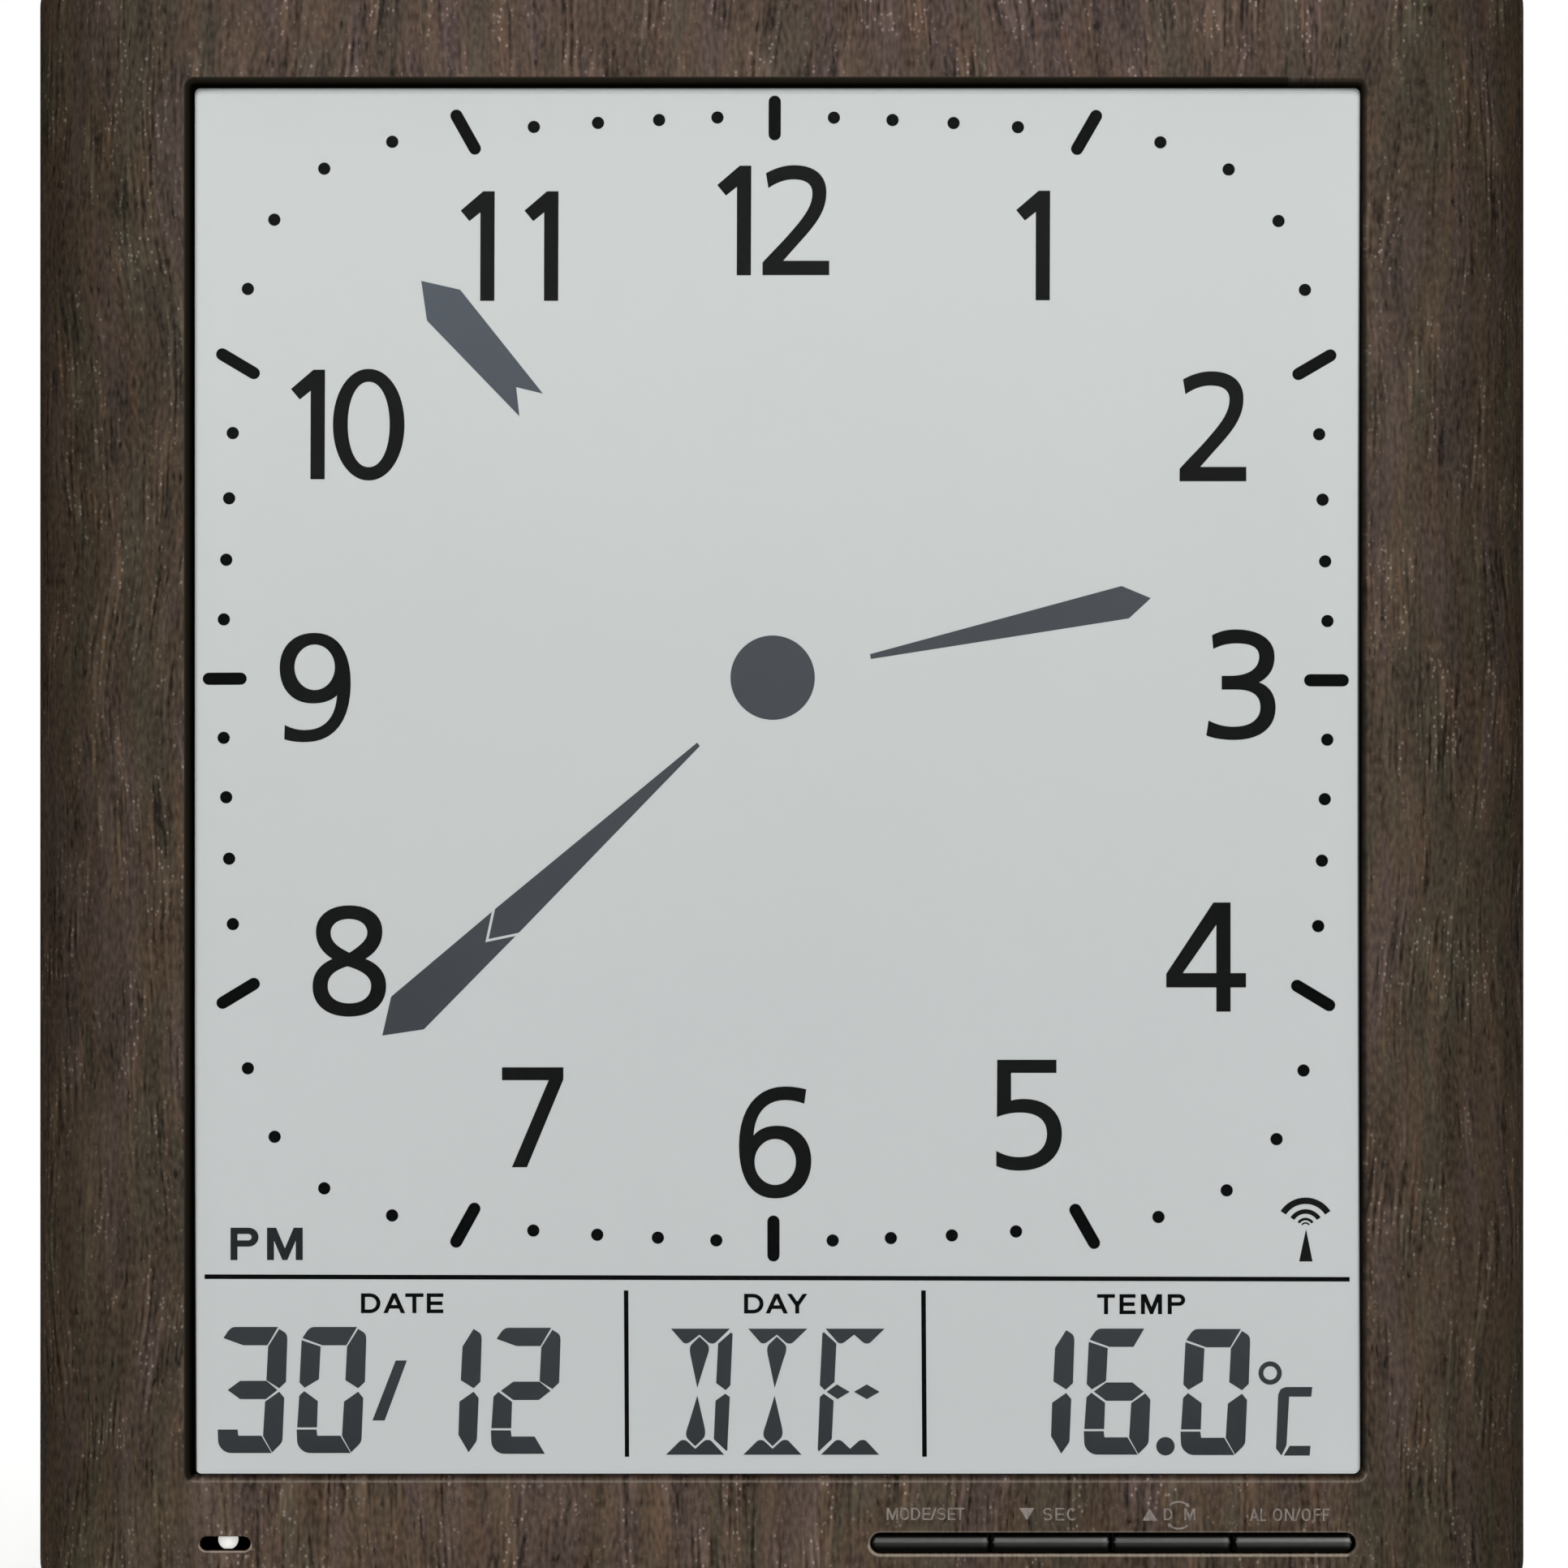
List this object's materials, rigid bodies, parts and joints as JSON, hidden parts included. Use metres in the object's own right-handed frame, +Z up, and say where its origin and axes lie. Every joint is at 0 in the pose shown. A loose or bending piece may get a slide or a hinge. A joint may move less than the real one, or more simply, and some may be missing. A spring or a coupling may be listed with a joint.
{
  "type": "wall clock with date display",
  "caption": "Portrait wall clock: wood-print frame, liquid crystal dial over a date, day and temperature strip, slim front keys, battery door and fold-out foot behind.",
  "frame": {"origin": "centre of the entry circle of the keyhole, on the wall plane at the back of the case", "axes": "+Z up, +X to the right of someone facing the clock, +Y into the wall; the dial faces -Y"},
  "size_m": [0.2062, 0.0289, 0.237],
  "materials": {
    "wood_print": "dark wood-grain print on moulded plastic, satin",
    "black_plastic": "fine spark-eroded texture",
    "key_gloss": "glossy black",
    "button_grey": "matte grey",
    "clear_window": "clear acrylic",
    "display_glass": "soda-lime display glass",
    "polariser": "polariser film",
    "reflector": "grey reflective film",
    "foam": "black foam",
    "elastomer": "striped elastomer",
    "board_green": "solder mask",
    "epoxy_black": "matte epoxy",
    "crystal_can": "drawn can",
    "switch_body": "moulded",
    "switch_plunger": "moulded",
    "sensor_white": "dipped white resin",
    "ferrite": "sintered ferrite",
    "copper": "enamelled copper winding",
    "holder_white": "moulded",
    "buzzer_brass": "rolled",
    "buzzer_white": "silvered ceramic",
    "screw_steel": "nickel plated",
    "contact_nickel": "nickel plated spring steel",
    "cell_sleeve": "printed sleeve, plain",
    "wire_red": "vinyl",
    "wire_black": "vinyl",
    "wire_grey": "vinyl"
  },
  "bodies": {
    "case": {"antenna_coil": "copper", "antenna_holder": "holder_white", "antenna_leads": "wire_grey", "antenna_rod": "ferrite", "battery_cell_lower": "cell_sleeve", "battery_cell_upper": "cell_sleeve", "battery_link_plate": "contact_nickel", "battery_negative_plate": "contact_nickel", "battery_positive_plate": "contact_nickel", "battery_springs": "contact_nickel", "battery_wire_black": "wire_black", "battery_wire_red": "wire_red", "buzzer_ceramic": "buzzer_white", "buzzer_plate": "buzzer_brass", "buzzer_wires": "wire_black", "controller_chip": "epoxy_black", "display_window": "clear_window", "front_frame": "wood_print", "lcd_bracket": "black_plastic", "lcd_bracket_screws": "screw_steel", "lcd_front_glass": "display_glass", "lcd_front_polariser": "polariser", "lcd_rear_glass": "display_glass", "lcd_reflector": "reflector", "main_pcb": "board_green", "main_pcb_screws": "screw_steel", "quartz_crystal": "crystal_can", "rear_cover": "black_plastic", "rear_cover_screws": "screw_steel", "receiver_cable": "wire_grey", "receiver_chip": "epoxy_black", "receiver_pcb": "board_green", "smoothing_capacitor": "crystal_can", "switch_alarm": "switch_body", "switch_down_second": "switch_body", "switch_mode_set": "switch_body", "switch_reset": "switch_body", "switch_up_day_month": "switch_body", "switch_wave": "switch_body", "temperature_sensor": "sensor_white", "window_gasket": "foam", "zebra_connector": "elastomer"},
    "key_mode_set": {"key_mode_set": "key_gloss", "plunger_mode_set": "switch_plunger"},
    "key_down_second": {"key_down_second": "key_gloss", "plunger_down_second": "switch_plunger"},
    "key_up_day_month": {"key_up_day_month": "key_gloss", "plunger_up_day_month": "switch_plunger"},
    "key_alarm": {"key_alarm": "key_gloss", "plunger_alarm": "switch_plunger"},
    "wave_button": {"wave_button": "button_grey", "plunger_wave": "switch_plunger"},
    "reset_button": {"reset_button": "button_grey", "plunger_reset": "switch_plunger"},
    "battery_door": {"battery_door": "black_plastic"},
    "stand_leg": {"stand_leg": "black_plastic"}
  },
  "joints": [
    {"name": "key_mode_set_press", "type": "slide", "parent": "case", "child": "key_mode_set", "axis": [0, 1, 0], "range_m": [0, 0.0005], "stiffness_N_per_m": 400, "springref_m": -0.003},
    {"name": "key_down_second_press", "type": "slide", "parent": "case", "child": "key_down_second", "axis": [0, 1, 0], "range_m": [0, 0.0005], "stiffness_N_per_m": 400, "springref_m": -0.003},
    {"name": "key_up_day_month_press", "type": "slide", "parent": "case", "child": "key_up_day_month", "axis": [0, 1, 0], "range_m": [0, 0.0005], "stiffness_N_per_m": 400, "springref_m": -0.003},
    {"name": "key_alarm_press", "type": "slide", "parent": "case", "child": "key_alarm", "axis": [0, 1, 0], "range_m": [0, 0.0005], "stiffness_N_per_m": 400, "springref_m": -0.003},
    {"name": "wave_button_press", "type": "slide", "parent": "case", "child": "wave_button", "axis": [0, -1, 0], "range_m": [0, 0.0005], "stiffness_N_per_m": 400, "springref_m": -0.003},
    {"name": "reset_button_press", "type": "slide", "parent": "case", "child": "reset_button", "axis": [0, -1, 0], "range_m": [0, 0.0005], "stiffness_N_per_m": 400, "springref_m": -0.003},
    {"name": "battery_door_lift", "type": "slide", "parent": "case", "child": "battery_door", "axis": [0, 1, 0], "range_m": [0, 0.03]},
    {"name": "stand_leg_fold", "type": "hinge", "parent": "case", "child": "stand_leg", "pos_m": [0, -0.0029, -0.2], "axis": [-1, 0, 0], "range_deg": [0, 94]}
  ]
}
